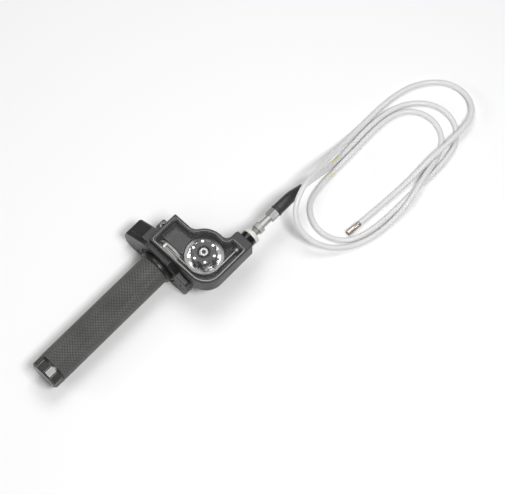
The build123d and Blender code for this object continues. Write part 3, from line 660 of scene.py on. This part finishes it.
def strand_radius(reach, angle):
    """Six round strands, laid round each other."""
    turn = wire_strands * (angle - 2 * math.pi * reach / strand_twist)
    return wire_radius * (0.86 + 0.14 * abs(math.cos(turn / 2)))


wire_steel = new_finish("drawn_wire_steel", (0.26, 0.26, 0.26), 0.8, 0.42)
wire_patch = grain(wire_steel, 0.0012, 4.0)
feed(wire_steel, Base_Color=blend_colours(wire_steel, between(wire_steel, wire_patch, 0.35, 0.7),
                                          (0.56, 0.56, 0.55, 1), (0.32, 0.32, 0.32, 1)),
     Roughness=between(wire_steel, wire_patch, 0.3, 0.7, 0.34, 0.5),
     Normal=relief(wire_steel, wire_patch, 0.01 * mm, 0.4))
repaint(wire_steel, "cable_nipple")

quarter_steps = 24
wire_line = [Vector((guide_inside, wire_y, wire_z))]
for step in range(quarter_steps + 1):
    swing = math.pi / 2 * (1 + step / quarter_steps)
    wire_line.append(Vector((pulley_x + pulley_pitch * math.cos(swing),
                             pulley_y - pulley_pitch * math.sin(swing), wire_z)))
wire_line.append(Vector((drum_x, 0, wire_z)))
wire_places = evenly(wire_line, wire_spacing)[0]
wire = sleeve_on("inner_wire", wire_places, wire_sides, strand_radius)
wire.data.materials.append(wire_steel)
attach(wire, "housing")
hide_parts("throttle_wire")

wrap_turn, wrap_steps = math.radians(14.5), 40
wrap_places = []
for step in range(wrap_steps):
    swing = wrap_turn * step / (wrap_steps - 1)
    wrap_places.append(Vector((drum_x, wire_z * math.sin(swing), wire_z * math.cos(swing))))
wrap = sleeve_on("drum_wire", wrap_places, wire_sides, strand_radius)
wrap.data.materials.append(wire_steel)
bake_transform(wrap)
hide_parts("wire_wrap")


# ---------------------------------------------------------------- throttle tube
# A moulded grey tube over the handlebar, with the wire's drum on its end.
tube_plastic = new_finish("moulded_grey_plastic", (0.42, 0.42, 0.42), 0.0, 0.4)
tube_flow = grain(tube_plastic, 0.006, 4.0)
tube_fine = grain(tube_plastic, 0.0006, 2.0)
feed(tube_plastic,
     Base_Color=blend_colours(tube_plastic, between(tube_plastic, tube_flow, 0.35, 0.7),
                              (0.46, 0.46, 0.45, 1), (0.34, 0.34, 0.34, 1)),
     Roughness=between(tube_plastic, tube_flow, 0.3, 0.7, 0.34, 0.5),
     Normal=relief(tube_plastic, tube_fine, 0.02 * mm, 0.4))
repaint(tube_plastic, "throttle_tube")


# ---------------------------------------------------------------- grip sleeve
# A dark grey polymer sleeve pressed on the tube. Its knurl is a lattice of
# small pyramids, and a smooth collar ends it at the housing.
grip_low, grip_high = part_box("grip_sleeve")[0].x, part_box("grip_sleeve")[1].x
grip_radius, bore_radius = 15.25 * mm, 13.12 * mm
collar_radius, collar_width = 17.3 * mm, 4.7 * mm
knurl_depth, core_drop = 0.25 * mm, 0.12 * mm
knurl_round, knurl_pitch = 48, 2.0 * mm
knurl_low, knurl_high = grip_low + 0.9 * mm, grip_high - collar_width - 0.4 * mm
knurl_rows = round((knurl_high - knurl_low) / knurl_pitch)

bpy.ops.object.select_all(action="DESELECT")
bpy.ops.mesh.primitive_grid_add(x_subdivisions=knurl_rows, y_subdivisions=knurl_round, size=1.0)
knurl = bpy.context.object
knurl.name = knurl.data.name = "knurled_grip"
for vertex in knurl.data.vertices:
    along, about = vertex.co.x + 0.5, 2 * math.pi * (vertex.co.y + 0.5)
    reach = grip_radius - knurl_depth
    vertex.co = (knurl_low + (knurl_high - knurl_low) * along,
                 reach * math.cos(about), reach * math.sin(about))
bpy.ops.object.mode_set(mode="EDIT")
bpy.ops.mesh.select_all(action="SELECT")
bpy.ops.mesh.remove_doubles(threshold=0.01 * mm)
shape = bmesh.from_edit_mesh(knurl.data)
lattice = len(shape.verts)
bpy.ops.mesh.poke()
shape = bmesh.from_edit_mesh(knurl.data)
bpy.ops.mesh.select_all(action="DESELECT")
for edge in shape.edges:
    first, second = edge.verts
    on_lattice = first.index < lattice and second.index < lattice
    edge.select_set(on_lattice and len(edge.link_faces) == 2)
bpy.ops.mesh.dissolve_edges(use_verts=False)
shape = bmesh.from_edit_mesh(knurl.data)
valleys = len(shape.verts)
bpy.ops.mesh.select_all(action="SELECT")
bpy.ops.mesh.poke()
shape = bmesh.from_edit_mesh(knurl.data)
shape.verts.ensure_lookup_table()
for vertex in shape.verts[valleys:]:
    out = math.hypot(vertex.co.y, vertex.co.z)
    vertex.co.y = vertex.co.y * grip_radius / out
    vertex.co.z = vertex.co.z * grip_radius / out
bmesh.update_edit_mesh(knurl.data)
bpy.ops.mesh.select_all(action="SELECT")
bpy.ops.mesh.normals_make_consistent(inside=False)
bpy.ops.object.mode_set(mode="OBJECT")

valley_radius, collar_low = grip_radius - knurl_depth, grip_high - collar_width
sleeve_core = turned("grip_core", [
    (grip_low, bore_radius), (grip_low, 14.6 * mm), (grip_low + 0.4 * mm, 15.0 * mm),
    (knurl_low, valley_radius), (knurl_low + 0.3 * mm, valley_radius - core_drop),
    (knurl_high - 0.3 * mm, valley_radius - core_drop), (knurl_high, valley_radius),
    (collar_low, 15.1 * mm), (collar_low, collar_radius - 0.8 * mm),
    (collar_low + 0.25 * mm, collar_radius - 0.25 * mm),
    (collar_low + 0.8 * mm, collar_radius), (grip_high - 2.6 * mm, collar_radius),
    (grip_high - 2.3 * mm, collar_radius - 0.35 * mm), (grip_high - 2.0 * mm, collar_radius),
    (grip_high - 0.8 * mm, collar_radius), (grip_high - 0.25 * mm, collar_radius - 0.25 * mm),
    (grip_high, collar_radius - 0.8 * mm), (grip_high, bore_radius), (grip_low, bore_radius)],
    sides=96)

grip_polymer = new_finish("grip_polymer", (0.085, 0.088, 0.078), 0.0, 0.46)
grip_cloud = grain(grip_polymer, 0.02, 4.0)
grip_fine = grain(grip_polymer, 0.0004, 3.0)
off_axis = add(grip_polymer, "VectorMath", {0: object_place(grip_polymer), 1: (0, 1, 1)},
               operation="MULTIPLY")
axis_distance = add(grip_polymer, "VectorMath", {0: off_axis}, outlet="Value",
                    operation="LENGTH")
knurl_tip = between(grip_polymer, axis_distance, valley_radius, grip_radius)
grip_shade = blend_colours(grip_polymer, between(grip_polymer, grip_cloud, 0.35, 0.7),
                           (0.225, 0.231, 0.212, 1), (0.300, 0.307, 0.284, 1))
along_grip = add(grip_polymer, "SeparateXYZ", {0: object_place(grip_polymer)}, outlet="X")
collar_shade = between(grip_polymer, along_grip, collar_low - 0.3 * mm, collar_low)
# Painted shade: the knurl's valleys are painted near black (0.010), lighter towards the pyramids'
# tips.
knurl_with_painted_valley_shade = blend_colours(grip_polymer, knurl_tip, (0.010, 0.010, 0.009, 1), grip_shade)
feed(grip_polymer,
     Base_Color=blend_colours(grip_polymer, collar_shade, knurl_with_painted_valley_shade, (0.016, 0.016, 0.015, 1)),
     Roughness=between(grip_polymer, grip_cloud, 0.3, 0.7, 0.28, 0.38),
     Normal=relief(grip_polymer, grip_fine, 0.02 * mm, 0.4))
for piece in (knurl, sleeve_core):
    piece.data.materials.append(grip_polymer)
    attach(piece, "throttle")
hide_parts("grip_sleeve")


# ---------------------------------------------------------------- end cap
# A moulded cap of the same polymer, with flats and a flute at each corner,
# pressed into the tube's open end.
cap_polymer = new_finish("cap_polymer", (0.035, 0.036, 0.034), 0.1, 0.24,
                         Coat_Weight=0.12, Coat_Roughness=0.2)
cap_cloud = grain(cap_polymer, 0.006, 4.0)
cap_fine = grain(cap_polymer, 0.0005, 2.0)
feed(cap_polymer,
     Base_Color=blend_colours(cap_polymer, between(cap_polymer, cap_cloud, 0.35, 0.7),
                              (0.026, 0.027, 0.025, 1), (0.045, 0.046, 0.043, 1)),
     Roughness=between(cap_polymer, cap_cloud, 0.3, 0.7, 0.29, 0.36),
     Normal=relief(cap_polymer, cap_fine, 0.01 * mm, 0.4))
repaint(cap_polymer, "grip_end_cap")
